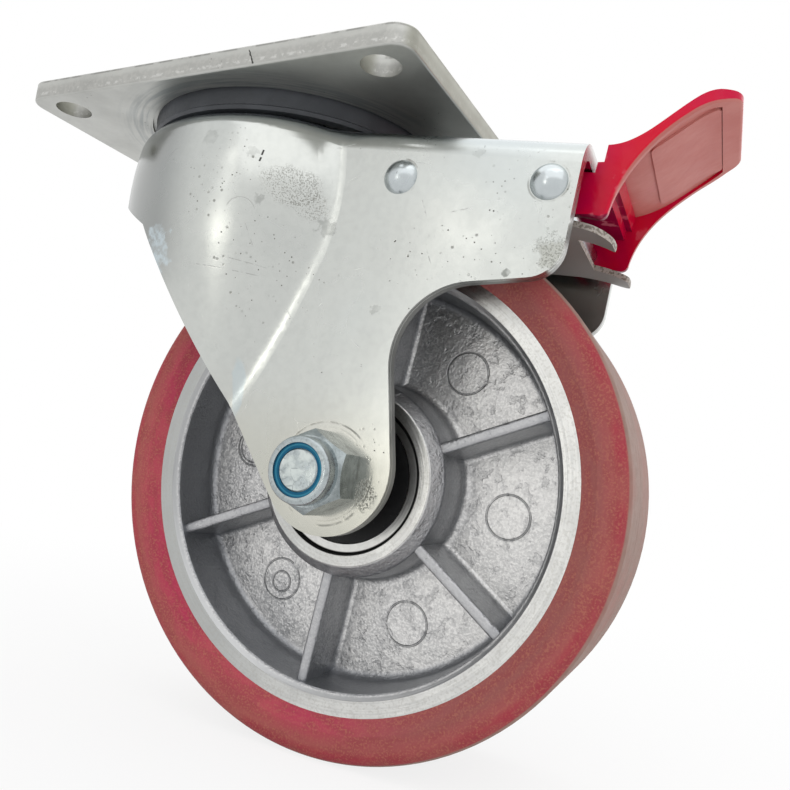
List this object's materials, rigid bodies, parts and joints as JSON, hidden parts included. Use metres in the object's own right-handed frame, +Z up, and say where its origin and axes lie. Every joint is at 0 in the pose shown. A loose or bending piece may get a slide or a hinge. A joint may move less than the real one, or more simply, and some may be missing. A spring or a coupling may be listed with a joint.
{
  "type": "swivel castor",
  "caption": "Plate-mounted swivel castor with a pressed steel fork, a ball-bearing wheel with a bonded tyre, and a foot pedal that presses a brake plate onto the tread.",
  "frame": {"origin": "centre of the four bolt holes on the top face of the plate", "axes": "+Z up, out of the plate's top face along the swivel axis; +X along the plate's long side, towards the pedal; +Y along its short side"},
  "size_m": [0.2053, 0.112, 0.185],
  "materials": {
    "plate_zinc": "dull zinc plating",
    "fork_zinc": "bright zinc plating",
    "steel": "turned steel",
    "bright_steel": "polished steel balls",
    "fastener_zinc": "bright zinc plating",
    "black_rubber": "satin",
    "blue_nylon": "satin",
    "cast_aluminium": "as cast, turned faces",
    "red_tread": "cast polyurethane",
    "red_paint": "gloss powder coat"
  },
  "bodies": {
    "plate": {"top_plate": "plate_zinc", "kingpin": "plate_zinc", "upper_balls": "bright_steel", "lower_balls": "bright_steel", "lower_race": "plate_zinc", "dust_seal": "black_rubber"},
    "fork": {"fork": "fork_zinc", "axle_bolt": "fastener_zinc", "lock_nut": "fastener_zinc", "nut_insert": "blue_nylon", "axle_tube": "steel", "mid_spacer": "steel", "end_spacers": "steel", "near_inner_ring": "steel", "far_inner_ring": "steel", "front_rivet": "fastener_zinc", "rear_rivet": "fastener_zinc", "front_spacers": "steel", "rear_spacers": "steel"},
    "wheel": {"wheel_centre": "cast_aluminium", "tyre": "red_tread", "near_outer_ring": "steel", "far_outer_ring": "steel", "near_bearing_balls": "bright_steel", "far_bearing_balls": "bright_steel", "near_cage": "steel", "far_cage": "steel", "near_bearing_seal": "black_rubber", "far_bearing_seal": "black_rubber"},
    "brake": {"brake_plate": "plate_zinc"},
    "pedal": {"pedal": "red_paint"}
  },
  "joints": [
    {"name": "swivel", "type": "hinge", "parent": "plate", "child": "fork", "pos_m": [0, 0, -0.014], "axis": [0, 0, 1], "continuous": true},
    {"name": "wheel_spin", "type": "hinge", "parent": "fork", "child": "wheel", "pos_m": [0.0459, 0.00297, -0.11], "axis": [-0.0645, 0.9979, 0], "continuous": true},
    {"name": "pedal_press", "type": "hinge", "parent": "fork", "child": "pedal", "pos_m": [0.0956, 0.00618, -0.0326], "axis": [-0.0645, 0.9979, 0], "range_deg": [0, 45]},
    {"name": "brake_bend", "type": "hinge", "parent": "fork", "child": "brake", "pos_m": [0.05608, 0.00363, -0.03], "axis": [-0.0645, 0.9979, 0], "range_deg": [0, 8.2]}
  ],
  "couplings": [
    {"joint": "brake_bend", "follows": "pedal_press", "ratio": 0.1822}
  ]
}
